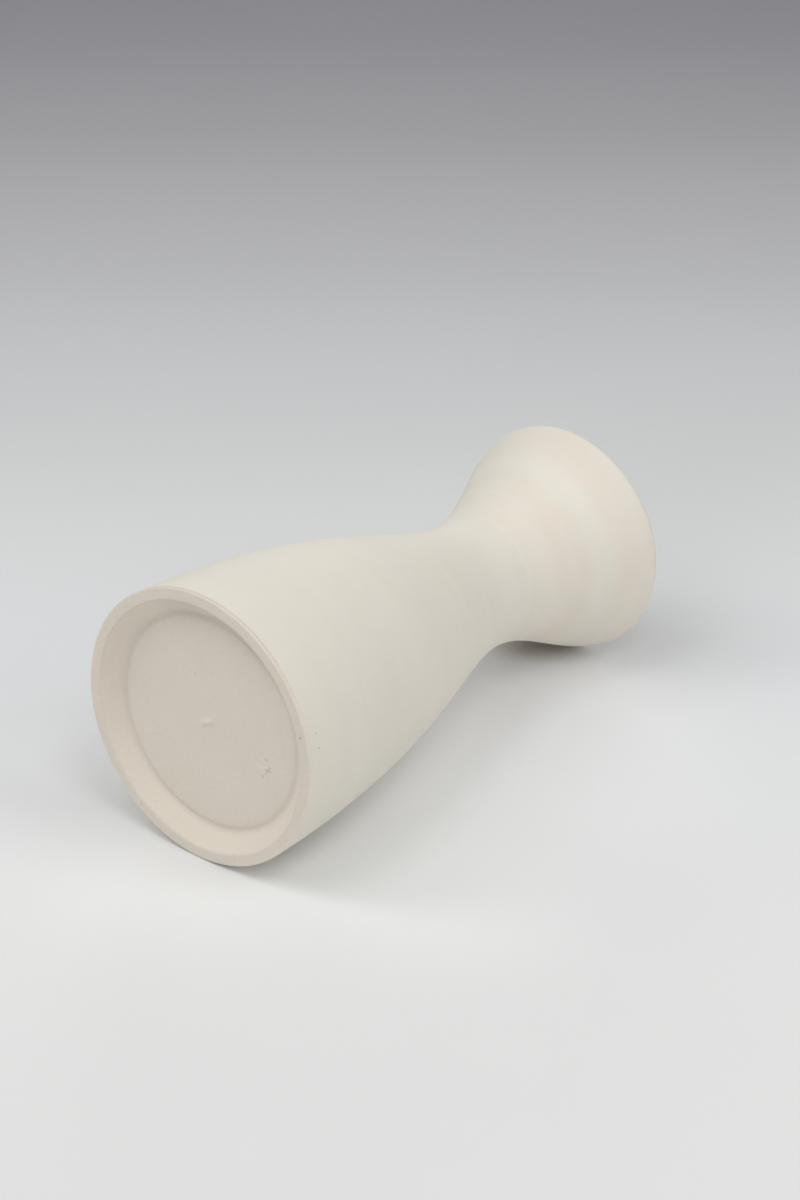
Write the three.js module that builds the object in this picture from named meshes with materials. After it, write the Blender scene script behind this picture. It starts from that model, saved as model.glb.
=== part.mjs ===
// A small ceramic bud vase: broad foot, narrow waist and a flared mouth, standing 141 mm tall.
// It is thrown in two clay sections, luted with slip at the throat, then glazed inside and out.
// Millimetres. The vase stands on Z = 0, with +Z up its axis of revolution.
import * as THREE from 'three';

// Driving dimensions of the silhouette
const HEIGHT = 141;
const FOOT_RADIUS = 35;
const WAIST_RADIUS = 16.9;
const WAIST_HEIGHT = 99;
const RIM_RADIUS = 30.2;
const BODY_HANDLE = new THREE.Vector2(33.2, 61.1);
const WAIST_PULL_DOWN = 18.9;
const WAIST_PULL_UP = 16.3;
const RIM_PULL = 10.2;
const RIM_LEAN = THREE.MathUtils.degToRad(12.4);

// Wall, floor and coats
const WALL_AT_FOOT = 5;
const WALL_AT_RIM = 3.4;
const COAT = 0.4;
const GAP = 0.1;
const WELL_FLOOR = 9.3;
const WELL_CORNER = 10;
const WELL_WALL_START = 19.6;

// Turned foot, with a small step above its edge that the outer coat stops against
const RECESS_RADIUS = 28;
const RECESS_DEPTH = 4.25;
const RECESS_CORNER = 0.8;
const LAND_INNER_RADIUS = 32.1;
const FOOT_EDGE_ROUND = 0.4;

// Where the outer coat begins and ends, and where the two sections meet
const COAT_START = 1.2;
const COAT_END_INSIDE = 134.5;
const LINER_END = COAT_END_INSIDE - 0.2;
const JOINT_HEIGHT = 106;
const TONGUE = 4;
const SLIP = 0.5;

// Fineness of the lathed meshes
const SEGMENTS = 48;
const STATION_STEP = 9;
const LIP_STEPS = 6;
const CORNER_STEPS = 4;

const LIP_RADIUS = WALL_AT_RIM / 2;
const RIM_TANGENT = new THREE.Vector2(Math.sin(RIM_LEAN), Math.cos(RIM_LEAN));
const WALL_TOP = new THREE.Vector2(
  RIM_RADIUS - LIP_RADIUS * (1 - RIM_TANGENT.y),
  HEIGHT - LIP_RADIUS * (1 + RIM_TANGENT.x),
);
const BODY_CURVE = new THREE.CubicBezierCurve(
  new THREE.Vector2(FOOT_RADIUS, 0),
  BODY_HANDLE,
  new THREE.Vector2(WAIST_RADIUS, WAIST_HEIGHT - WAIST_PULL_DOWN),
  new THREE.Vector2(WAIST_RADIUS, WAIST_HEIGHT),
);
const FLARE_CURVE = new THREE.CubicBezierCurve(
  new THREE.Vector2(WAIST_RADIUS, WAIST_HEIGHT),
  new THREE.Vector2(WAIST_RADIUS, WAIST_HEIGHT + WAIST_PULL_UP),
  WALL_TOP.clone().addScaledVector(RIM_TANGENT, -RIM_PULL),
  WALL_TOP,
);

// The silhouette's point and upward tangent at a height.
// Both curves climb steadily, so halving the span finds it.
function silhouetteAt(height) {
  const curve = height < WAIST_HEIGHT ? BODY_CURVE : FLARE_CURVE;
  let low = 0;
  let high = 1;
  while (high - low > 1e-9) {
    const middle = (low + high) / 2;
    if (curve.getPoint(middle).y < height) low = middle;
    else high = middle;
  }
  return { point: curve.getPoint(high), tangent: curve.getTangent(high) };
}

// A point under the outer surface.
// Depth is measured square to the surface, from the silhouette's point of that height.
function skin(height, depth) {
  const { point, tangent } = silhouetteAt(height);
  return new THREE.Vector2(point.x - depth * tangent.y, point.y + depth * tangent.x);
}

function wallAt(height) {
  return THREE.MathUtils.mapLinear(height, 0, HEIGHT, WALL_AT_FOOT, WALL_AT_RIM);
}

// The surfaces between the layers, each as a depth that follows the wall
const outside = () => 0;
const coatBack = () => COAT;
const clayOutside = () => COAT + GAP;
const clayInside = (height) => wallAt(height) - COAT - GAP;
const linerBack = (height) => wallAt(height) - COAT;
const inside = (height) => wallAt(height);

// All pieces share these stations, so that neighbouring facets stay parallel and never cross.
const STATIONS = [
  WELL_WALL_START,
  JOINT_HEIGHT,
  JOINT_HEIGHT + TONGUE,
  COAT_END_INSIDE,
  WALL_TOP.y,
];
for (let height = COAT_START + STATION_STEP; height < WALL_TOP.y; height += STATION_STEP) {
  const crowded = STATIONS.some((station) => Math.abs(station - height) < STATION_STEP / 4);
  if (!crowded) STATIONS.push(height);
}
STATIONS.sort((a, b) => a - b);

// Points along one surface from a low height to a high one, with every station between them.
function climb(surface, from, to) {
  const between = STATIONS.filter((height) => height > from && height < to);
  return [from, ...between, to].map((height) => skin(height, surface(height)));
}

function descend(surface, from, to) {
  return climb(surface, to, from).reverse();
}

// Half a circle over the lip, from outer face to inner face, for a layer inset from the outer surface.
function overLip(inset) {
  const normal = new THREE.Vector2(RIM_TANGENT.y, -RIM_TANGENT.x);
  const centre = skin(WALL_TOP.y, LIP_RADIUS);
  const radius = LIP_RADIUS - inset;
  const points = [];
  for (let step = 1; step < LIP_STEPS; step += 1) {
    const turn = (Math.PI * step) / LIP_STEPS;
    points.push(
      centre.clone()
        .addScaledVector(normal, radius * Math.cos(turn))
        .addScaledVector(RIM_TANGENT, radius * Math.sin(turn)),
    );
  }
  return points;
}

// The rounded corner of the well and its floor, from the foot of the wall to the axis.
// Extra grows it outwards into the clay.
function wellFloor(extra) {
  const wallFoot = skin(WELL_WALL_START, wallAt(WELL_WALL_START));
  const arc = new THREE.EllipseCurve(
    wallFoot.x - WELL_CORNER,
    wallFoot.y,
    WELL_CORNER + extra,
    wallFoot.y - WELL_FLOOR + extra,
    0,
    -Math.PI / 2,
    true,
  );
  const points = arc.getPoints(CORNER_STEPS).slice(1);
  points.push(new THREE.Vector2(0, WELL_FLOOR - extra));
  return points;
}

// The underside, from the axis out to the rounded edge of the foot: recess, bevel, flat land, edge.
function turnedFoot() {
  const bevelTop = new THREE.Vector2(RECESS_RADIUS, RECESS_DEPTH);
  const landInner = new THREE.Vector2(LAND_INNER_RADIUS, 0);
  const bevel = landInner.clone().sub(bevelTop).setLength(RECESS_CORNER);
  const recessCorner = new THREE.QuadraticBezierCurve(
    new THREE.Vector2(RECESS_RADIUS - RECESS_CORNER, RECESS_DEPTH),
    bevelTop,
    bevelTop.clone().add(bevel),
  );
  const edge = new THREE.EllipseCurve(
    FOOT_RADIUS - FOOT_EDGE_ROUND,
    FOOT_EDGE_ROUND,
    FOOT_EDGE_ROUND,
    FOOT_EDGE_ROUND,
    -Math.PI / 2,
    0,
  );
  return [
    new THREE.Vector2(0, RECESS_DEPTH),
    ...recessCorner.getPoints(CORNER_STEPS),
    landInner,
    ...edge.getPoints(CORNER_STEPS),
    skin(COAT_START - GAP, 0),
  ];
}

// Depths of the lapped joint: the lower section's tongue stands on the inner side of this line.
const tongueFace = (height) => wallAt(height) / 2;

function lowerBody() {
  const top = JOINT_HEIGHT + TONGUE;
  return [
    ...turnedFoot(),
    ...climb(clayOutside, COAT_START - GAP, JOINT_HEIGHT),
    ...climb(tongueFace, JOINT_HEIGHT, top),
    ...descend(clayInside, top, WELL_WALL_START),
    ...wellFloor(COAT + GAP),
  ];
}

function jointSlip() {
  const low = JOINT_HEIGHT + GAP;
  const high = JOINT_HEIGHT + TONGUE + SLIP;
  const innerLow = JOINT_HEIGHT + TONGUE + GAP;
  const outerHigh = JOINT_HEIGHT + SLIP;
  const tongueSide = (height) => tongueFace(height) - GAP;
  const neckSide = (height) => tongueFace(height) - SLIP;
  return [
    ...climb(clayOutside, low, outerHigh),
    ...climb(neckSide, outerHigh, high),
    ...descend(clayInside, high, innerLow),
    ...descend(tongueSide, innerLow, low),
  ];
}

function flaredNeck() {
  const outerLow = JOINT_HEIGHT + SLIP + GAP;
  const innerLow = JOINT_HEIGHT + TONGUE + SLIP + GAP;
  const rebate = (height) => tongueFace(height) - SLIP - GAP;
  return [
    ...climb(clayOutside, outerLow, WALL_TOP.y),
    ...overLip(COAT + GAP),
    ...descend(clayInside, WALL_TOP.y, innerLow),
    ...descend(rebate, innerLow, outerLow),
  ];
}

function outerGlaze() {
  return [
    ...climb(outside, COAT_START, WALL_TOP.y),
    ...overLip(0),
    ...descend(inside, WALL_TOP.y, COAT_END_INSIDE),
    ...climb(linerBack, COAT_END_INSIDE, WALL_TOP.y),
    ...overLip(COAT).reverse(),
    ...descend(coatBack, WALL_TOP.y, COAT_START),
  ];
}

function linerGlaze() {
  return [
    ...wellFloor(COAT).reverse(),
    ...climb(linerBack, WELL_WALL_START, LINER_END),
    ...descend(inside, LINER_END, WELL_WALL_START),
    ...wellFloor(0),
  ];
}

// A profile that begins and ends on the axis is left open; any other is closed back to its first point.
function lathe(profile) {
  const outline = profile[0].x === 0 ? profile : [...profile, profile[0].clone()];
  const geometry = new THREE.LatheGeometry(outline, SEGMENTS);
  geometry.rotateX(Math.PI / 2);
  return geometry;
}

function piece(name, profile, color, roughness) {
  const material = new THREE.MeshStandardMaterial({ color, roughness, metalness: 0 });
  const mesh = new THREE.Mesh(lathe(profile), material);
  mesh.name = name;
  return mesh;
}

const BARE_CLAY = 0xdccfc2;
const SLIP_CLAY = 0xd3c8b8;
const MATT_IVORY = 0xe6dfd1;
const LINER_IVORY = 0xece6d8;

const vase = new THREE.Group();
vase.add(
  piece('lower_body', lowerBody(), BARE_CLAY, 0.95),
  piece('flared_neck', flaredNeck(), BARE_CLAY, 0.95),
  piece('joint_slip', jointSlip(), SLIP_CLAY, 0.9),
  piece('outer_glaze', outerGlaze(), MATT_IVORY, 0.75),
  piece('liner_glaze', linerGlaze(), LINER_IVORY, 0.35),
);

export default vase;
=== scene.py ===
"""Looks for the ceramic bud vase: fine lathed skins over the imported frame, fired clay and matt
glaze, and the vase lying on a pale floor, seen from above its foot."""

import math

import bpy
import numpy as np
from mathutils import Matrix, Vector


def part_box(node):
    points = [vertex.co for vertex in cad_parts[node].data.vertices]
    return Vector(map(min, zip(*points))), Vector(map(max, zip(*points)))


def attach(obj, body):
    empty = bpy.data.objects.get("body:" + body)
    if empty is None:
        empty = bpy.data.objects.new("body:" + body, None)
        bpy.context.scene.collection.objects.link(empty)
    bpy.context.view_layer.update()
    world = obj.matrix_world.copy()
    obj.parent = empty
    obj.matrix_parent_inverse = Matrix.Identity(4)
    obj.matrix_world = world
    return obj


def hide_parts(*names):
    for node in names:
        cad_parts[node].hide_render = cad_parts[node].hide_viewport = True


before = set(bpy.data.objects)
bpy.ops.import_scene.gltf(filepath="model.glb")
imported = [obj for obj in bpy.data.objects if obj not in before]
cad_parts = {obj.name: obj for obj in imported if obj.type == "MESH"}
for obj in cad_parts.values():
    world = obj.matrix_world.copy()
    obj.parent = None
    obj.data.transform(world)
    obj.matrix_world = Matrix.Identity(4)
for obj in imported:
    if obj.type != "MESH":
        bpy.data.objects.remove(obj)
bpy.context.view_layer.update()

MM = 0.001

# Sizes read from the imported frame
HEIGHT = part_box("outer_glaze")[1].z
FOOT_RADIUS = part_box("lower_body")[1].x
SEAM_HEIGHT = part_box("joint_slip")[0].z
LINER_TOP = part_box("liner_glaze")[1].z


# ---------------------------------------------------------------- outlines from the frame

TOUCH = 1e-6
MICROMETRE_DIGITS = 6
CORNER_TURN = math.radians(40)  # a sharper turn than this is a corner
CORNER_SHARE = 0.45  # the most of a side that a rounded corner may take
CORNER_POINTS = 5
LONG_RATIO = 3  # a side this many times longer than its neighbour stays straight


def meridian(node):
    """The CAD node's outline in the half-plane X = 0, Y <= 0: (radius, height) points in order,
    and whether it closes on itself. One that doesn't close begins and ends on the axis."""
    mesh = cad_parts[node].data
    place = {}
    for vertex in mesh.vertices:
        x, y, z = vertex.co
        if abs(x) < TOUCH and y < TOUCH:
            radius, height = round(max(-y, 0.0), MICROMETRE_DIGITS), round(z, MICROMETRE_DIGITS)
            place[vertex.index] = (radius, height)
    links = {point: set() for point in place.values()}
    for edge in mesh.edges:
        a, b = (place.get(i) for i in edge.vertices)
        if a is not None and b is not None and a != b:
            links[a].add(b)
            links[b].add(a)
    ends = sorted((p for p in links if len(links[p]) == 1), key=lambda p: p[1])
    start = ends[0] if ends else max(links, key=lambda p: (p[0], -p[1]))
    chain = [start]
    while True:
        onward = [p for p in links[chain[-1]] if p not in chain]
        if not onward:
            break
        chain.append(max(onward, key=lambda p: p[0]) if len(chain) == 1 else onward[0])
    points = np.array(chain)
    closed = not ends
    if closed and signed_area(points) < 0:
        points = points[::-1]
    return points, closed


def signed_area(points):
    following = np.roll(points, -1, axis=0)
    return 0.5 * np.sum(points[:, 0] * following[:, 1] - following[:, 0] * points[:, 1])


def unit(vectors):
    return vectors / np.linalg.norm(vectors, axis=-1, keepdims=True)


def turning(before, after):
    """The angle between two unit vectors."""
    return math.acos(max(-1.0, min(1.0, float(before @ after))))


def soften(points, closed, reach):
    """Rounds each corner sharper than CORNER_TURN over the distance reach(corner)."""
    out = []
    count = len(points)
    for i, point in enumerate(points):
        if not closed and i in (0, count - 1):
            out.append(point)
            continue
        back, ahead = points[i - 1] - point, points[(i + 1) % count] - point
        near, far = np.linalg.norm(back), np.linalg.norm(ahead)
        if turning(-back / near, ahead / far) < CORNER_TURN:
            out.append(point)
            continue
        cut = min(reach(point), CORNER_SHARE * near, CORNER_SHARE * far)
        first, last = point + back / near * cut, point + ahead / far * cut
        for t in np.linspace(0, 1, CORNER_POINTS):
            out.append((1 - t) ** 2 * first + 2 * t * (1 - t) * point + t * t * last)
    return np.array(out)


def end_slopes(ways, lengths, closed):
    """Unit tangents on leaving and reaching the ends of each side, shared except at corners."""
    spans = len(ways)
    leaving, arriving = ways.copy(), ways.copy()
    for after in range(0 if closed else 1, spans):
        before = (after - 1) % spans
        if turning(ways[before], ways[after]) > CORNER_TURN:
            continue
        if lengths[before] > LONG_RATIO * lengths[after]:
            shared = ways[before]
        elif lengths[after] > LONG_RATIO * lengths[before]:
            shared = ways[after]
        else:
            shared = unit(ways[before] * lengths[after] + ways[after] * lengths[before])
        arriving[before], leaving[after] = shared, shared
    return leaving, arriving


def refine(points, closed, spacing):
    """A smooth curve through the points, with steps of spacing(place, outward normal) metres."""
    following = np.roll(points, -1, axis=0)
    steps = (following - points)[: len(points) if closed else -1]
    lengths = np.linalg.norm(steps, axis=1)
    ways = steps / lengths[:, None]
    leaving, arriving = end_slopes(ways, lengths, closed)
    out = []
    for i, (way, length) in enumerate(zip(ways, lengths)):
        start, end = points[i], following[i]
        normal = np.array([way[1], -way[0]])
        parts = max(1, math.ceil(length / spacing((start + end) / 2, normal)))
        t = np.arange(parts)[:, None] / parts
        out.append(
            (2 * t**3 - 3 * t**2 + 1) * start
            + (t**3 - 2 * t**2 + t) * leaving[i] * length
            + (3 * t**2 - 2 * t**3) * end
            + (t**3 - t**2) * arriving[i] * length
        )
    if not closed:
        out.append(points[-1:])
    return np.vstack(out)


# ---------------------------------------------------------------- lathed meshes

COLUMNS = 320
FOOT_COLUMNS = 400

# How the thrown form leans out of round: waves round the pot, depth in mm, phase at the foot and
# phase gained by the rim
SWAYS = ((2, 0.05, 0.9, 2.2), (3, 0.03, -1.7, 3.1))


def sway(height, angle):
    """How far the form leans outwards, in metres. All layers share it, so they stay nested."""
    lift = np.clip(height / HEIGHT, 0, 1)
    lean = sum(
        depth * np.sin(waves * angle + phase + twist * lift) for waves, depth, phase, twist in SWAYS
    )
    return lift * lean * MM


def outward_normals(points, closed):
    if closed:
        way = np.roll(points, -1, axis=0) - np.roll(points, 1, axis=0)
    else:
        way = np.gradient(points, axis=0)
    way = unit(way)
    return np.stack([way[:, 1], -way[:, 0]], axis=1)


def quads(below, above):
    """Faces between two stacks of rows of vertex indices."""
    corners = [below, np.roll(below, -1, axis=1), np.roll(above, -1, axis=1), above]
    return [tuple(quad) for quad in np.stack(corners, axis=-1).reshape(-1, 4).tolist()]


def fans(index, first, last):
    """Faces from the first row of vertex indices to one pole, and from the last row to another."""
    turned = np.roll(index, -1, axis=1)
    columns = range(index.shape[1])
    start = [(first, turned[0, j], index[0, j]) for j in columns]
    end = [(last, index[-1, j], turned[-1, j]) for j in columns]
    return start + end


def lathe(name, points, closed, relief, columns):
    """A closed mesh of revolution. Each point is pushed along its outward normal by
    relief(radius, height, angle, normal)."""
    normals = outward_normals(points, closed)
    if not closed:
        points, normals = points[1:-1], normals[1:-1]
    angle = np.arange(columns)[None, :] * (2 * math.pi / columns)
    radius, height = points[:, :1], points[:, 1:]
    push = relief(radius, height, angle, normals)
    around = radius + normals[:, :1] * push + sway(height, angle)
    up = height + normals[:, 1:] * push
    grid = np.stack([around * np.cos(angle), around * np.sin(angle), up], axis=-1)
    vertices = grid.reshape(-1, 3)
    index = np.arange(len(vertices)).reshape(len(points), columns)
    if closed:
        faces = quads(index, np.roll(index, -1, axis=0))
    else:
        faces = quads(index[:-1], index[1:]) + fans(index, len(vertices), len(vertices) + 1)
        poles = [(0.0, 0.0, float(row.mean())) for row in (up[0], up[-1])]
        vertices = np.vstack([vertices, poles])
    mesh = bpy.data.meshes.new(name)
    mesh.from_pydata(vertices.tolist(), [], faces)
    mesh.shade_smooth()
    mesh.update()
    piece = bpy.data.objects.new(name, mesh)
    bpy.context.scene.collection.objects.link(piece)
    return piece


def vertex_places(piece):
    places = np.empty(len(piece.data.vertices) * 3)
    piece.data.vertices.foreach_get("co", places)
    return places.reshape(-1, 3)


# Steps along an outline, fine where its face can be seen
OUTSIDE_STEP, INSIDE_STEP = 0.68 * MM, 0.8 * MM
UNDERSIDE_STEP, FOOT_EDGE_STEP, FOOT_EDGE_TOP = 0.3 * MM, 0.4 * MM, 2 * MM
JOINT_STEP, HIDDEN_STEP = 2 * MM, 4 * MM


def fine_outside(place, normal):
    seen = normal[0] > 0.2 or normal[1] > 0.5
    return OUTSIDE_STEP if seen else HIDDEN_STEP


def fine_underneath(place, normal):
    if normal[1] < -0.3:
        return UNDERSIDE_STEP
    return FOOT_EDGE_STEP if place[1] < FOOT_EDGE_TOP else HIDDEN_STEP


def fine_inside(place, normal):
    seen = normal[0] < -0.2 or normal[1] > 0.5
    return INSIDE_STEP if seen else HIDDEN_STEP


def coarse(place, normal):
    return JOINT_STEP


# ---------------------------------------------------------------- relief

# Marks that throwing and the brush left on the outside, each part of the way round the pot: share
# of the height, half width in mm, azimuth and half spread in degrees, ridge in mm and how much
# lighter it is
STREAKS = (
    (0.7477, 0.45, -58, 40, 0.045, 0.036),
    (0.7248, 1.70, -28, 28, -0.020, -0.018),
    (0.8191, 0.50, -108, 26, 0.030, 0.026),
    (0.5282, 0.55, -42, 22, 0.030, 0.020),
    (0.5074, 1.60, -26, 24, -0.020, -0.014),
    (0.5858, 2.40, -3, 24, 0.010, 0.014),
    (0.1609, 0.70, -42, 24, -0.030, -0.020),
    (0.1787, 0.80, -112, 14, -0.020, -0.016),
    (0.2403, 1.60, -66, 30, 0.010, 0.008),
    (0.3872, 1.30, -95, 30, 0.010, 0.008),
    (0.8936, 2.40, -45, 95, 0.012, 0.012),
    (0.8519, 2.10, -12, 44, -0.012, -0.014),
    (0.8370, 2.60, 15, 16, 0.000, -0.014),
    (0.6374, 0.90, -84, 26, 0.020, 0.010),
    (0.7010, 0.50, 96, 46, 0.040, 0.026),
    (0.8638, 0.60, 138, 40, 0.030, 0.020),
    (0.6235, 1.50, 60, 30, -0.020, -0.012),
    (0.4349, 0.80, 82, 34, 0.030, 0.018),
    (0.3058, 0.70, 152, 42, -0.030, -0.018),
    (0.1321, 0.90, 60, 44, 0.020, 0.012),
)
RIDGE, LIGHTNESS = 4, 5
STREAK_LAYER = "streak_lightness"
STREAK_TILT = 1.0 * MM

# The ridge over the joint, the coat's slow swell with its pitch and drift up the pot, and how far
# the coat stands proud of the CAD's
SEAM_RISE, SEAM_WIDTH = 0.02 * MM, 0.9 * MM
SWELL, SWELL_PITCH, SWELL_DRIFT = 0.012 * MM, 9 * MM, 31 * MM
COAT_PROUD = 0.02 * MM

# The turning tool's concentric marks under the foot (depth and pitch in mm, phase), how far its
# clay is from flat, and the throwing rings under the liner
TOOL_MARKS = ((0.002, 0.42, 0.0), (0.010, 1.9, 0.8))
UNEVEN, UNEVEN_X, UNEVEN_Y = 0.02 * MM, 7 * MM, 8 * MM
LINER_RING, LINER_PITCH = 0.05 * MM, 1.7 * MM

# A blister in the recess: mm from the axis, azimuth in degrees, half width and rise in mm
BLISTER = (
    (18.0, 14.6, 0.36, 0.26),
    (18.1, 11.7, 0.36, -0.15),
    (18.3, 18.8, 0.42, 0.26),
    (18.9, 17.3, 0.36, 0.20),
    (19.6, 16.2, 0.34, -0.17),
    (19.3, 20.2, 0.44, -0.24),
    (20.0, 18.3, 0.34, -0.16),
    (19.1, 23.0, 0.30, -0.10),
    (18.8, 26.8, 0.42, -0.18),
    (16.9, 13.0, 0.40, 0.10),
    (15.9, 20.2, 0.40, 0.08),
    (17.1, 21.3, 0.40, 0.09),
)

# The groove at the corner of the recess, and the lens-shaped nub near its centre, whose offset in
# mm and azimuth in degrees also give its long axis
GROOVE_PLACE, GROOVE_WIDTH, GROOVE_DEPTH = 27.4 * MM, 0.75 * MM, 0.17 * MM
NUB_OFFSET, NUB_AZIMUTH = 0.7, 154
NUB_RISE, NUB_LENGTH, NUB_WIDTH = 0.50 * MM, 2.0 * MM, 0.70 * MM


def at(radius, azimuth, height):
    """A place given by mm from the axis, degrees round it and mm up."""
    turn = math.radians(azimuth)
    return (radius * math.cos(turn) * MM, radius * math.sin(turn) * MM, height * MM)


def bump(distance, width):
    return np.exp(-((distance / width) ** 2))


def streaks(height, angle, column):
    """The sum of the streaks at each place, with column RIDGE or LIGHTNESS."""
    total = np.zeros(np.broadcast(height, angle).shape)
    for streak in STREAKS:
        share, width, azimuth, spread = streak[:4]
        away = angle - math.radians(azimuth)
        level = share * HEIGHT - STREAK_TILT * np.sin(away)
        reach = bump(1 - np.cos(away), 1 - math.cos(math.radians(spread)))
        total += streak[column] * reach * bump(height - level, width * MM)
    return total


def coat_relief(radius, height, angle, normal):
    """Streaks, the ridge where the two sections meet, and the softness of a poured coat."""
    outside = np.clip(normal[:, :1] * 2, 0, 1)
    rise = streaks(height, angle, RIDGE) * MM
    rise += SEAM_RISE * bump(height - SEAM_HEIGHT + STREAK_TILT * np.sin(angle), SEAM_WIDTH)
    rings = np.sin(height / SWELL_PITCH + 1.3 * np.sin(angle))
    rise += SWELL * rings * np.sin(2 * angle + height / SWELL_DRIFT)
    return outside * (rise + COAT_PROUD)


def nub_relief(x, y):
    turn = math.radians(NUB_AZIMUTH)
    lengthways = x * math.cos(turn) + y * math.sin(turn) - NUB_OFFSET * MM
    sideways = y * math.cos(turn) - x * math.sin(turn)
    return NUB_RISE * bump(np.hypot(lengthways / NUB_LENGTH, sideways / NUB_WIDTH), 1)


def clay_relief(radius, height, angle, normal):
    """The turned underside: concentric marks, the groove, the nub and the blister."""
    under = np.clip(-normal[:, 1:] * 1.5, 0, 1) * (height > 0.4 * MM)
    x, y = radius * np.cos(angle), radius * np.sin(angle)
    rise = UNEVEN * np.sin(x / UNEVEN_X + 1) * np.sin(y / UNEVEN_Y)
    for depth, pitch, phase in TOOL_MARKS:
        rise += depth * MM * np.sin(radius / (pitch * MM) + phase)
    rise += nub_relief(x, y)
    rise -= GROOVE_DEPTH * bump(radius - GROOVE_PLACE, GROOVE_WIDTH)
    for distance, azimuth, width, lift in BLISTER:
        spot_x, spot_y, _ = at(distance, azimuth, 0)
        rise += lift * MM * bump(np.hypot(x - spot_x, y - spot_y), width * MM)
    return under * rise


def liner_relief(radius, height, angle, normal):
    """Gentle throwing rings seen through the liner."""
    inner = np.clip(-normal[:, :1] * 2, 0, 1)
    return inner * LINER_RING * np.sin(height / LINER_PITCH + 0.5 * np.sin(angle))


def no_relief(radius, height, angle, normal):
    return np.zeros(np.broadcast(height, angle).shape)


# ---------------------------------------------------------------- material graphs


class Graph:
    """A material built from nodes. Places and sizes are metres in the piece's own frame."""

    def __init__(self, name):
        self.material = bpy.data.materials.new(name)
        self.material.use_nodes = True
        self.nodes = self.material.node_tree.nodes
        self.links = self.material.node_tree.links
        self.shader = self.nodes["Principled BSDF"]
        self.place = self.add("TexCoord").outputs["Object"]
        self.x, self.y, self.z = self.add("SeparateXYZ", self.place).outputs
        level = self.add("CombineXYZ", self.x, self.y).outputs[0]
        self.radius = self.add("VectorMath", level, operation="LENGTH").outputs["Value"]

    def feed(self, socket, value):
        if isinstance(value, bpy.types.NodeSocket):
            self.links.new(value, socket)
        elif isinstance(value, tuple) and socket.type == "RGBA":
            socket.default_value = (*value, 1)
        else:
            socket.default_value = value

    def add(self, kind, *values, **settings):
        """A node of a kind, with its settings, and values for its first inputs."""
        node = self.nodes.new("ShaderNode" + kind)
        for name, setting in settings.items():
            setattr(node, name, setting)
        for socket, value in zip(node.inputs, values):
            self.feed(socket, value)
        return node

    def math(self, operation, first, second=0.0):
        return self.add("Math", first, second, operation=operation).outputs[0]

    def product(self, first, second):
        return self.math("MULTIPLY", first, second)

    def inverse(self, share):
        return self.math("SUBTRACT", 1.0, share)

    def total(self, *terms):
        """Sum of (value, weight) pairs."""
        result = 0.0
        for value, weight in terms:
            node = self.add("Math", value, weight, result, operation="MULTIPLY_ADD")
            result = node.outputs[0]
        return result

    def step(self, value, low, high):
        """0 below low and 1 above high, smooth between them."""
        node = self.add("MapRange", value, low, high, interpolation_type="SMOOTHSTEP")
        return node.outputs["Result"]

    def facing(self, azimuth):
        """Cosine of the angle round the axis from an azimuth in degrees."""
        turn = math.radians(azimuth)
        along = self.total((self.x, math.cos(turn)), (self.y, math.sin(turn)))
        return self.math("DIVIDE", along, self.radius)

    def centred_noise(self, node, detail):
        self.feed(node.inputs["Scale"], 1.0)
        self.feed(node.inputs["Detail"], detail)
        return self.math("SUBTRACT", node.outputs["Fac"], 0.5)

    def noise(self, size, stretch=(1, 1, 1), detail=1.0):
        """Soft noise about zero, roughly -0.3 to 0.3, with blobs of a size, stretched along X, Y
        and Z."""
        scale = tuple(1 / (size * s) for s in stretch)
        node = self.add("TexNoise")
        place = self.add("VectorMath", self.place, scale, operation="MULTIPLY").outputs[0]
        self.feed(node.inputs["Vector"], place)
        return self.centred_noise(node, detail)

    def rings(self, size, detail=2.0):
        """Noise about zero that changes only with the distance from the axis, like the marks of
        a turning tool."""
        node = self.add("TexNoise", noise_dimensions="1D")
        self.feed(node.inputs["W"], self.math("DIVIDE", self.radius, size))
        return self.centred_noise(node, detail)

    def dots(self, marks, blur):
        """1 within each mark's radius, falling to 0 outside it. Marks are (place, radius)."""
        result = 0.0
        for place, radius in marks:
            gone = self.add("VectorMath", self.place, place, operation="DISTANCE")
            dot = self.step(gone.outputs["Value"], radius + blur, radius - blur)
            result = self.math("MAXIMUM", result, dot)
        return result

    def specks(self, cell, size, share):
        """Scattered round specks: in a share of the cells, up to size across."""
        scale = (1 / cell,) * 3
        place = self.add("VectorMath", self.place, scale, operation="MULTIPLY").outputs[0]
        cells = self.add("TexVoronoi")
        self.feed(cells.inputs["Vector"], place)
        self.feed(cells.inputs["Scale"], 1.0)
        lot = self.add("SeparateColor", cells.outputs["Color"]).outputs[0]
        reach = self.product(self.step(lot, 1 - share, 1.0), size / cell / 2)
        inside = self.math("SUBTRACT", reach, cells.outputs["Distance"])
        return self.step(inside, 0.0, size / cell / 8)

    def pool(self, aside, beyond, across_reach, beyond_reach):
        """1 at a place on the XY plane, falling to 0 over a reach in each direction."""
        centre, shares = (aside, beyond, 0.0), (1 / across_reach, 1 / beyond_reach, 0.0)
        gone = self.add("VectorMath", self.place, centre, operation="SUBTRACT").outputs[0]
        gone = self.add("VectorMath", gone, shares, operation="MULTIPLY").outputs[0]
        gone = self.add("VectorMath", gone, operation="LENGTH").outputs["Value"]
        return self.step(gone, 1.0, 0.0)

    def mix(self, share, first, second):
        """Between two colours. The Mix node's colours are its inputs 6 and 7 and output 2."""
        node = self.add("Mix", data_type="RGBA", clamp_factor=True)
        for socket, value in ((0, share), (6, first), (7, second)):
            self.feed(node.inputs[socket], value)
        return node.outputs[2]

    def toned(self, colour, tone):
        """The colour made lighter or darker by the share tone."""
        node = self.add("VectorMath", colour, operation="SCALE")
        self.feed(node.inputs["Scale"], self.math("ADD", tone, 1.0))
        return node.outputs[0]

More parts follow.
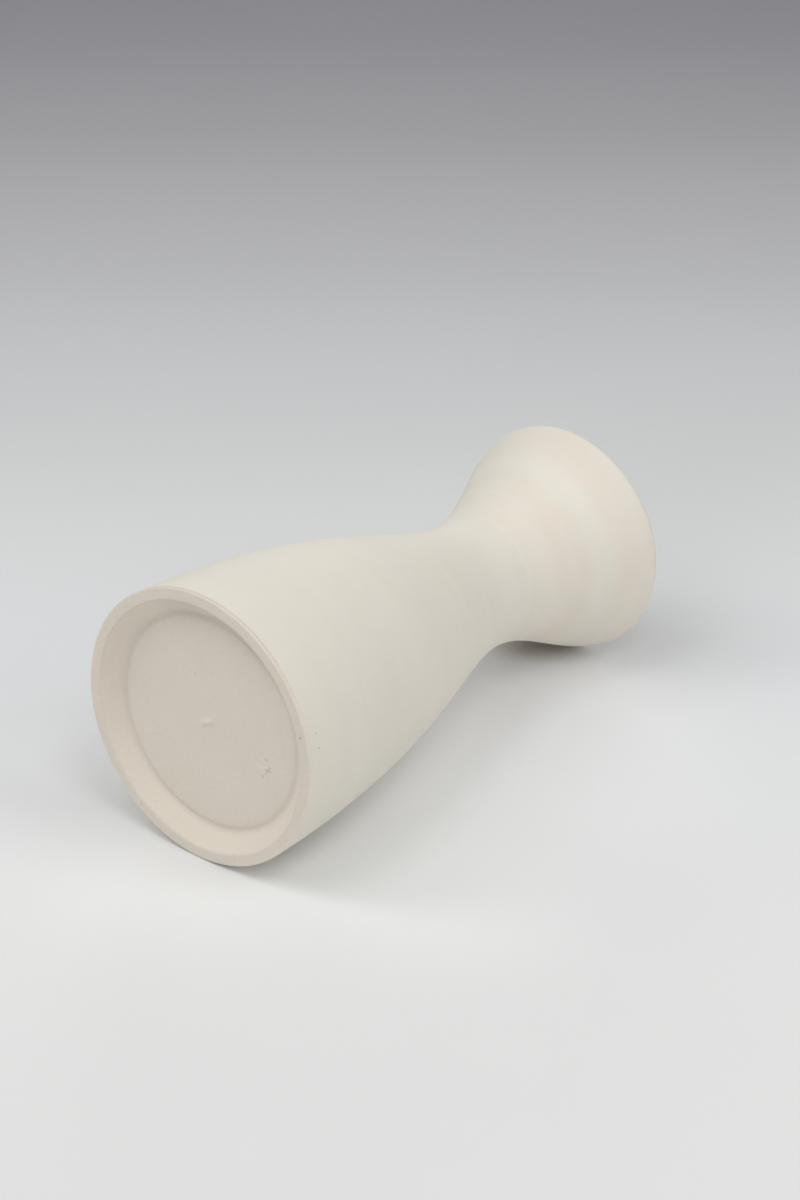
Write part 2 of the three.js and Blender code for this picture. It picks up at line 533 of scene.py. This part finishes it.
    def ramp(self, value, interpolation, stops):
        """Reads value, from 0 to 1, off a curve through stops, which are (place, colour) pairs."""
        node = self.add("ValToRGB", value)
        node.color_ramp.interpolation = interpolation
        elements = node.color_ramp.elements
        for i, (place, colour) in enumerate(stops):
            stop = elements[i] if i < len(elements) else elements.new(place)
            stop.position = place
            stop.color = (*colour, 1)
        return node.outputs["Color"]

    def finish(self, colour, roughness, relief, gloss=0.5):
        """Wires up the shader. Relief is a height in metres."""
        bend = self.add("Bump")
        self.feed(bend.inputs["Height"], relief)
        self.feed(bend.inputs["Distance"], 1.0)
        self.feed(self.shader.inputs["Base Color"], colour)
        self.feed(self.shader.inputs["Roughness"], roughness)
        self.feed(self.shader.inputs["Specular IOR Level"], gloss)
        self.feed(self.shader.inputs["Normal"], bend.outputs["Normal"])
        return self.material


# ---------------------------------------------------------------- clay

CLAY_RECESS = (0.752, 0.687, 0.606)
CLAY_BEVEL = (0.764, 0.698, 0.609)
CLAY_LAND = (0.738, 0.673, 0.588)
CLAY_SIDE = (0.730, 0.668, 0.582)
CLAY_WARM = (0.768, 0.677, 0.586)
CLAY_PIT = (0.33, 0.27, 0.21)
SLIP_PALE, SLIP_DEEP = (0.64, 0.575, 0.49), (0.60, 0.53, 0.44)

# The outline of the body begins on the axis, at the recess.
RECESS_HEIGHT = meridian("lower_body")[0][0, 1] / MM
PINHOLES = (
    (at(12.2, -112.7, RECESS_HEIGHT), 0.16 * MM),
    (at(33.2, -16.4, 0), 0.24 * MM),
    (at(31.7, 10.7, 0.3), 0.17 * MM),
    (at(34.6, 17.6, 0.2), 0.12 * MM),
    (at(32.4, 17.9, 0), 0.14 * MM),
    (at(8.9, -20.6, RECESS_HEIGHT), 0.10 * MM),
    (at(20.6, 151, RECESS_HEIGHT), 0.11 * MM),
    (at(33.4, 124, 0), 0.12 * MM),
    (at(32.9, -141, 0), 0.13 * MM),
)


def clay_colour(g, on_land, on_side):
    """The colour of each zone of the foot, with a warmer cast in patches."""
    below_recess = g.step(g.z, 3.9 * MM, 3.2 * MM)
    colour = g.mix(below_recess, CLAY_RECESS, CLAY_BEVEL)
    colour = g.mix(on_land, colour, CLAY_LAND)
    colour = g.mix(on_side, colour, CLAY_SIDE)
    warm = g.step(g.noise(7 * MM, detail=3), -0.05, 0.35)
    return g.mix(g.product(warm, 0.5), colour, CLAY_WARM)


def clay_chatter_and_painted_shading(g, on_land, on_side):
    """Tone on the foot: a painted highlight along one side of the edge, a painted contact shadow on
    the side band facing the floor, painted shade in one corner of the recess, and chatter on the
    land."""
    # Painted highlight: the foot's edge lighter on one side only.
    edge_highlight = g.step(g.radius, FOOT_RADIUS - 0.75 * MM, FOOT_RADIUS - 0.35 * MM)
    edge_highlight = g.product(edge_highlight, g.step(g.facing(45), 0.5, 1.0))
    # Painted contact shadow: the side band darker where it faces the floor.
    contact_shade = g.product(on_side, g.step(g.facing(105), 0.75, 0.97))
    # Painted shade: the recess darker towards its corner on one side, where the land's edge shades
    # it.
    shade = g.product(g.step(g.radius, 23 * MM, 27.5 * MM), g.step(g.facing(-75), 0.6, 1.0))
    shade = g.product(shade, g.inverse(on_land))
    chatter = g.product(g.noise(1.1 * MM, detail=3), on_land)
    return g.total((edge_highlight, 0.07), (contact_shade, -0.30), (shade, -0.10), (chatter, 0.12))


def recess_painted_shading(g):
    """Painted light in the recess: a painted highlight on the nub and the blister's raised bits,
    and painted shade in the blister's pits and along the groove.
    """
    # Painted highlight: the nub lighter than the clay round it.
    nub = g.dots([(at(NUB_OFFSET, NUB_AZIMUTH, RECESS_HEIGHT), 0.9 * MM)], 0.6 * MM)
    spots = [(at(r, a, RECESS_HEIGHT), w * MM, lift) for r, a, w, lift in BLISTER]
    # Painted highlight on the blister's raised bits and painted shade in its pits.
    crumb_highlights = g.dots([(place, width) for place, width, lift in spots if lift > 0], 0.25 * MM)
    pit_shade = g.dots([(place, width) for place, width, lift in spots if lift < 0], 0.25 * MM)
    # Painted shade: the clay darker along the groove at the recess corner.
    off_groove = g.math("ABSOLUTE", g.math("SUBTRACT", g.radius, GROOVE_PLACE))
    groove = g.step(off_groove, 2 * GROOVE_WIDTH, 0)
    return g.total((nub, 0.05), (crumb_highlights, 0.05), (pit_shade, -0.16), (groove, -0.06))


def bare_clay():
    """Pale fired clay, a little pink: granular, with faint concentric turning marks and a few
    pinholes."""
    g = Graph("bare_clay")
    on_land = g.step(g.z, 0.5 * MM, 0.15 * MM)
    on_side = g.step(g.radius, FOOT_RADIUS - 0.35 * MM, FOOT_RADIUS - 0.12 * MM)
    grain = g.noise(0.45 * MM, detail=3)
    turned = g.rings(0.9 * MM)
    broken = g.product(turned, g.step(g.noise(9 * MM), -0.25, 0.2))
    flecks = g.specks(1.6 * MM, 0.30 * MM, 0.35)
    pale = g.specks(1.1 * MM, 0.34 * MM, 0.30)
    tone = g.total((grain, 0.14), (g.noise(14 * MM), 0.05), (broken, 0.025))
    tone = g.total((flecks, -0.10), (pale, 0.05), (tone, 1.0))
    # The painted highlights and shade of the foot and the recess join the tone here.
    tone = g.total((clay_chatter_and_painted_shading(g, on_land, on_side), 1.0), (recess_painted_shading(g), 1.0), (tone, 1.0))
    pits = g.dots(PINHOLES, 0.06 * MM)
    colour = g.toned(clay_colour(g, on_land, on_side), tone)
    colour = g.mix(g.product(pits, 0.8), colour, CLAY_PIT)
    relief = g.total((grain, 0.035 * MM), (turned, 0.012 * MM))
    relief = g.total((pits, -0.12 * MM), (flecks, -0.02 * MM), (relief, 1.0))
    rough = g.total((g.noise(4 * MM), 0.15), (0.92, 1.0))
    return g.finish(colour, rough, relief, gloss=0.25)


def slip_clay():
    """The same clay let down with water: finer and a little greyer."""
    g = Graph("slip_clay")
    grain = g.noise(0.25 * MM, detail=2)
    colour = g.mix(g.step(g.noise(5 * MM), -0.2, 0.3), SLIP_PALE, SLIP_DEEP)
    colour = g.toned(colour, g.total((grain, 0.12)))
    return g.finish(colour, 0.88, g.total((grain, 0.02 * MM)), gloss=0.25)


# ---------------------------------------------------------------- glazes

IVORY_FOOT, IVORY_BODY = (0.752, 0.717, 0.634), (0.768, 0.730, 0.645)
IVORY_BLUSH = (0.775, 0.695, 0.612)
IVORY_WARM = (0.775, 0.722, 0.625)
IVORY_LIP = (0.735, 0.655, 0.560)
IVORY_WORN = (0.768, 0.710, 0.624)
IVORY_PIT = (0.46, 0.36, 0.28)
LINER_PALE, LINER_POOL = (0.800, 0.760, 0.672), (0.775, 0.735, 0.620)

COAT_PINHOLES = (
    (at(34.8, -10.1, 3.8), 0.26 * MM),
    (at(34.8, -16.2, 3.7), 0.22 * MM),
    (at(34.2, 118, 11.0), 0.15 * MM),
    (at(27.9, -151, 56.0), 0.13 * MM),
)

# How strongly the clay's pink shows through the coat, by share of the height
BLUSH = (
    (0.00, 0.05),
    (0.65, 0.05),
    (0.780, 0.40),
    (0.810, 0.90),
    (0.855, 0.95),
    (0.880, 0.05),
    (0.902, 0.05),
    (0.922, 0.90),
    (0.985, 0.90),
)


def mark_lightness(piece):
    """Keeps each vertex's streak lightness on the mesh, for the coat's material."""
    x, y, z = vertex_places(piece).T
    lightness = piece.data.attributes.new(STREAK_LAYER, "FLOAT", "POINT")
    lightness.data.foreach_set("value", streaks(z, np.arctan2(y, x), LIGHTNESS))


def blushing(g):
    """How much of the clay's pink shows: in broken bands on the flare, and less on the far side."""
    patch = g.step(g.noise(7 * MM, stretch=(2.5, 2.5, 1), detail=3), -0.16, 0.14)
    level = g.total((g.z, 1 / HEIGHT), (g.noise(16 * MM, detail=2), 0.05))
    blush = g.ramp(level, "EASE", [(place, (height,) * 3) for place, height in BLUSH])
    side = g.total((g.step(g.facing(-20), -0.1, 0.45), 0.9), (0.1, 1.0))
    return g.product(g.product(blush, g.total((patch, 0.6), (0.25, 1.0))), side)


def ivory_colour(g, mottle):
    """The coat's colour up the pot, with its blush, its warm patches, the lip and the worn edge
    above the foot."""
    colour = g.mix(g.step(g.z, 0.04 * HEIGHT, 0.4 * HEIGHT), IVORY_FOOT, IVORY_BODY)
    colour = g.mix(blushing(g), colour, IVORY_BLUSH)
    warm = g.step(mottle, 0.02, 0.28)
    colour = g.mix(g.product(warm, 0.35), colour, IVORY_WARM)
    lip = g.step(g.z, 0.99 * HEIGHT, 0.999 * HEIGHT)
    colour = g.mix(g.product(lip, 0.12), colour, IVORY_LIP)
    ragged = g.total((g.z, 1.0), (g.noise(2.6 * MM, detail=3), 3.0 * MM))
    worn = g.step(ragged, 3.2 * MM, 1.2 * MM)
    return g.mix(g.product(worn, 0.7), colour, IVORY_WORN)


def matt_ivory():
    """A dry ivory coat. It runs in faint bands round the pot and blushes where it thins."""
    g = Graph("matt_ivory_glaze")
    bands = g.noise(8 * MM, stretch=(5, 5, 1), detail=2)
    mottle = g.noise(22 * MM, detail=2)
    grain = g.noise(0.32 * MM, detail=2)
    clouds = g.noise(4 * MM, detail=3)
    flecks = g.specks(5.5 * MM, 0.30 * MM, 0.18)
    streak = g.add("Attribute", attribute_name=STREAK_LAYER).outputs["Fac"]
    # Painted shade and light: the coat darker facing azimuths -15 and 165, lighter between them.
    painted_side_shade = g.math("POWER", g.facing(-15), 2.0)
    tone = g.total((bands, 0.06), (mottle, 0.04), (grain, 0.045), (clouds, 0.035))
    tone = g.total((flecks, -0.12), (streak, 1.0), (painted_side_shade, -0.09), (0.045, 1.0), (tone, 1.0))
    pits = g.dots(COAT_PINHOLES, 0.08 * MM)
    colour = g.toned(ivory_colour(g, mottle), tone)
    colour = g.mix(g.product(pits, 0.45), colour, IVORY_PIT)
    relief = g.total((grain, 0.012 * MM), (bands, 0.03 * MM), (pits, -0.1 * MM))
    rough = g.total((mottle, 0.1), (grain, 0.08), (0.80, 1.0))
    return g.finish(colour, rough, relief, gloss=0.35)


def satin_liner():
    """The coat inside: smoother, glossier and a little creamier where it pools low in the well."""
    g = Graph("satin_liner_glaze")
    runs = g.noise(3 * MM, stretch=(1, 1, 7), detail=2)
    mottle = g.noise(12 * MM, detail=2)
    pooled = g.step(g.z, 0.35 * HEIGHT, 0.08 * HEIGHT)
    colour = g.mix(pooled, LINER_PALE, LINER_POOL)
    colour = g.toned(colour, g.total((runs, 0.05), (mottle, 0.06)))
    relief = g.total((runs, 0.05 * MM), (mottle, 0.1 * MM))
    rough = g.total((mottle, 0.2), (runs, 0.1), (0.36, 1.0))
    return g.finish(colour, rough, relief)


# ---------------------------------------------------------------- the vase

# What hides the CAD's working gaps: the coat reaches lower and the liner higher
COAT_LOWERED = 0.09 * MM
LINER_RAISED = 0.18 * MM

# How far each side of a corner its rounding reaches
CRISP, EASED, FOOT_EASED, STEP_CRISP = 0.05 * MM, 0.2 * MM, 0.3 * MM, 0.03 * MM


def crisp(corner):
    return CRISP


def eased(corner):
    return EASED


def foot_corner(corner):
    """The recess and the land are eased, and the step under the coat's edge is left crisp."""
    on_step = corner[1] > 0.9 * MM and corner[0] > 0.9 * FOOT_RADIUS
    return STEP_CRISP if on_step else FOOT_EASED


def as_drawn(point):
    return point


def coat_lowered(point):
    return point - (0, COAT_LOWERED) if point[1] < 2 * MM else point


def liner_raised(point):
    return point + (0, LINER_RAISED) if point[1] > LINER_TOP - 0.5 * MM else point


def build(name, node, material, spacing, relief, reach, adjust=as_drawn, columns=COLUMNS):
    """A visible piece lathed from the CAD node's outline, which it then stands for."""
    points, closed = meridian(node)
    points = np.array([adjust(point) for point in points])
    outline = refine(soften(points, closed, reach), closed, spacing)
    piece = lathe(name, outline, closed, relief, columns)
    piece.data.materials.append(material)
    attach(piece, "root")
    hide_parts(node)
    return piece


def make_vase():
    clay, slip, ivory, satin = bare_clay(), slip_clay(), matt_ivory(), satin_liner()
    body = build(
        "vase_lower_body", "lower_body", clay,
        fine_underneath, clay_relief, foot_corner, columns=FOOT_COLUMNS,
    )
    neck = build(
        "vase_flared_neck", "flared_neck", clay,
        coarse, no_relief, eased,
    )
    joint = build(
        "vase_joint_slip", "joint_slip", slip,
        coarse, no_relief, crisp,
    )
    coat = build(
        "vase_outer_coat", "outer_glaze", ivory,
        fine_outside, coat_relief, crisp, coat_lowered,
    )
    mark_lightness(coat)
    liner = build(
        "vase_liner", "liner_glaze", satin,
        fine_inside, liner_relief, crisp, liner_raised,
    )
    return body, neck, joint, coat, liner


vase = make_vase()

# ---------------------------------------------------------------- how the vase lies

SLOPE_ROUNDS = 6


def resting_slope():
    """The slope of the radius along the height, on the line that touches the foot and the rim."""
    outline = np.vstack([meridian("outer_glaze")[0], meridian("lower_body")[0]])
    foot_half = outline[outline[:, 1] < HEIGHT / 2]
    rim_half = outline[outline[:, 1] > HEIGHT / 2]
    slope = 0.0
    for _ in range(SLOPE_ROUNDS):
        foot = foot_half[np.argmax(foot_half[:, 0] - slope * foot_half[:, 1])]
        rim = rim_half[np.argmax(rim_half[:, 0] - slope * rim_half[:, 1])]
        slope = (rim[0] - foot[0]) / (rim[1] - foot[1])
    return slope


def lowest(piece, up):
    """How far the piece reaches below the origin, against the direction up."""
    return float(np.max(vertex_places(piece) @ -np.array(up)))


# The camera's heading is CAMERA_TURN away from the vase's axis, and it looks down by CAMERA_PITCH.
CAMERA_TURN = math.radians(40)
CAMERA_PITCH = math.radians(28.5)
CAMERA_DISTANCE = 23.39 * FOOT_RADIUS
CAMERA_LENS = 105
SENSOR_WIDTH = 36
AIM_RIGHT = 1.353 * FOOT_RADIUS
AIM_UP = 0.859 * FOOT_RADIUS

# The floor touches the upright vase from the side, so its normal is nearly level.
DIP = math.atan(-resting_slope())
FLOOR_UP = Vector((0, -math.cos(DIP), -math.sin(DIP)))
FLOOR_DROP = max(lowest(piece, FLOOR_UP) for piece in vase)

ALONG = Vector((0, -math.sin(DIP), math.cos(DIP)))
ACROSS = ALONG.cross(FLOOR_UP)
HEADING = math.cos(CAMERA_TURN) * ALONG - math.sin(CAMERA_TURN) * ACROSS
RIGHT = HEADING.cross(FLOOR_UP)
FORWARD = math.cos(CAMERA_PITCH) * HEADING - math.sin(CAMERA_PITCH) * FLOOR_UP
UPWARD = RIGHT.cross(FORWARD)


def frame_of(x, y, z):
    """A rotation whose columns are three directions."""
    return Matrix((x, y, z)).transposed().to_4x4()


def place_camera():
    camera = bpy.data.cameras.new("photo_camera")
    camera.lens = CAMERA_LENS
    camera.sensor_width = SENSOR_WIDTH
    holder = bpy.data.objects.new("photo_camera", camera)
    bpy.context.scene.collection.objects.link(holder)
    target = RIGHT * AIM_RIGHT + UPWARD * AIM_UP
    place = Matrix.Translation(target - FORWARD * CAMERA_DISTANCE)
    holder.matrix_world = place @ frame_of(RIGHT, UPWARD, -FORWARD)
    bpy.context.scene.camera = holder


# ---------------------------------------------------------------- floor

FLOOR_SIZE = 6.0

# Painted light falloff: the pale paper's colour darkens and cools away from the camera, standing
# in for the light fading with distance. Metres beyond the foot, and its colour
PAINTED_FALLOFF = (
    (-0.25, (0.749, 0.755, 0.753)),
    (-0.05, (0.782, 0.790, 0.782)),
    (0.08, (0.785, 0.793, 0.804)),
    (0.20, (0.708, 0.719, 0.721)),
    (0.33, (0.597, 0.602, 0.619)),
    (0.45, (0.465, 0.464, 0.482)),
    (0.55, (0.365, 0.360, 0.385)),
    (0.65, (0.294, 0.288, 0.309)),
    (0.75, (0.255, 0.249, 0.268)),
)

# Painted light and shade on the paper, where it is a little lighter or darker round the vase:
# metres right of the foot and beyond it, reach in the same two directions, and tone
PAINTED_LIGHT_PATCHES = (
    (0.086, 0.027, 0.062, 0.062, 0.050),
    (0.059, -0.025, 0.045, 0.045, 0.040),
    (-0.034, 0.047, 0.028, 0.028, 0.090),
    (0.150, 0.140, 0.100, 0.100, -0.022),
    (0.070, 0.085, 0.030, 0.034, -0.050),
)

# The warm shade that gathers on the paper where the rim rests
RIM_SHADE = (0.083, 0.103, 0.018, 0.012)
SHADE_COLOUR = (0.30, 0.22, 0.16)
SHADE_SHARE = 0.6

# The paper glows for all but camera rays: painted bounce light under the vase, on top of what it
# reflects by itself
FLOOR_GLOW = 0.06


def floor_material():
    """Pale paper, seen only from above, so that views from behind it aren't blocked."""
    g = Graph("pale_sweep")
    first, last = PAINTED_FALLOFF[0][0], PAINTED_FALLOFF[-1][0]
    # Painted light falloff down the paper.
    spread = g.add("MapRange", g.y, first, last).outputs["Result"]
    stops = [((beyond - first) / (last - first), colour) for beyond, colour in PAINTED_FALLOFF]
    colour = g.ramp(spread, "CARDINAL", stops)
    grain = g.noise(0.7 * MM, detail=2)
    tone = g.total((grain, 0.03), (g.noise(60 * MM, detail=2), 0.02))
    # Painted light and shade patches on the paper.
    for *place, share in PAINTED_LIGHT_PATCHES:
        tone = g.total((g.pool(*place), share), (tone, 1.0))
    shade = g.product(g.pool(*RIM_SHADE), SHADE_SHARE)
    colour = g.mix(shade, g.toned(colour, tone), SHADE_COLOUR)
    g.finish(colour, 0.9, g.total((grain, 0.02 * MM)), gloss=0.1)
    # Painted bounce light: the paper glows, but not for camera rays.
    unseen_by_camera = g.inverse(g.add("LightPath").outputs["Is Camera Ray"])
    g.feed(g.shader.inputs["Emission Color"], (1.0, 1.0, 1.0))
    g.feed(g.shader.inputs["Emission Strength"], g.product(unseen_by_camera, FLOOR_GLOW))
    backs = g.add("NewGeometry").outputs["Backfacing"]
    clear = g.add("BsdfTransparent").outputs[0]
    seen = g.add("MixShader", backs, g.shader.outputs[0], clear).outputs[0]
    g.links.new(seen, g.nodes["Material Output"].inputs["Surface"])
    return g.material


def make_floor():
    mesh = bpy.data.meshes.new("studio_floor")
    half = FLOOR_SIZE / 2
    corners = [(-half, -half, 0), (half, -half, 0), (half, half, 0), (-half, half, 0)]
    mesh.from_pydata(corners, [], [(0, 1, 2, 3)])
    mesh.materials.append(floor_material())
    floor = bpy.data.objects.new("studio_floor", mesh)
    bpy.context.scene.collection.objects.link(floor)
    place = Matrix.Translation(-FLOOR_UP * FLOOR_DROP)
    floor.matrix_world = place @ frame_of(RIGHT, HEADING, FLOOR_UP)


# ---------------------------------------------------------------- lights

# Soft lights round the vase: degrees clockwise from the camera's heading, degrees above the
# floor, watts
LIGHTS = {
    "sweep_glow": (0, 8, 3.77),
    "right_fill": (112.5, 28, 2.06),
    "right_front_fill": (135, 28, 1.13),
    "front_fill": (202.5, 28, 1.47),
    "left_fill": (270, 28, 1.61),
    "right_bank": (112.5, 52, 2.34),
    "front_bank": (157.5, 52, 2.65),
    "front_left_bank": (225, 52, 1.66),
    "left_bank": (270, 52, 2.38),
    "right_overhead": (120, 74, 0.93),
    "left_overhead": (240, 74, 2.08),
}
LIGHT_SIZE = 0.55
LIGHT_DISTANCE = 1.3
AMBIENT = 0.16


def make_light(name, bearing, elevation, watts):
    turn, rise = math.radians(bearing), math.radians(elevation)
    level = RIGHT * math.sin(turn) + HEADING * math.cos(turn)
    towards = level * math.cos(rise) + FLOOR_UP * math.sin(rise)
    lamp = bpy.data.lights.new(name, "AREA")
    lamp.shape = "DISK"
    lamp.size = LIGHT_SIZE
    lamp.energy = watts
    holder = bpy.data.objects.new(name, lamp)
    bpy.context.scene.collection.objects.link(holder)
    holder.location = Vector((0, 0, HEIGHT / 2)) + towards * LIGHT_DISTANCE
    holder.rotation_mode = "QUATERNION"
    holder.rotation_quaternion = (-towards).to_track_quat("-Z", "Y")
    holder.visible_camera = False


def make_air():
    world = bpy.data.worlds.new("studio_air")
    world.use_nodes = True
    air = world.node_tree.nodes["Background"]
    air.inputs["Color"].default_value = (1, 1, 1, 1)
    air.inputs["Strength"].default_value = AMBIENT
    bpy.context.scene.world = world


make_floor()
for light, setting in LIGHTS.items():
    make_light(light, *setting)
make_air()
place_camera()
bpy.context.scene.view_settings.view_transform = "Standard"
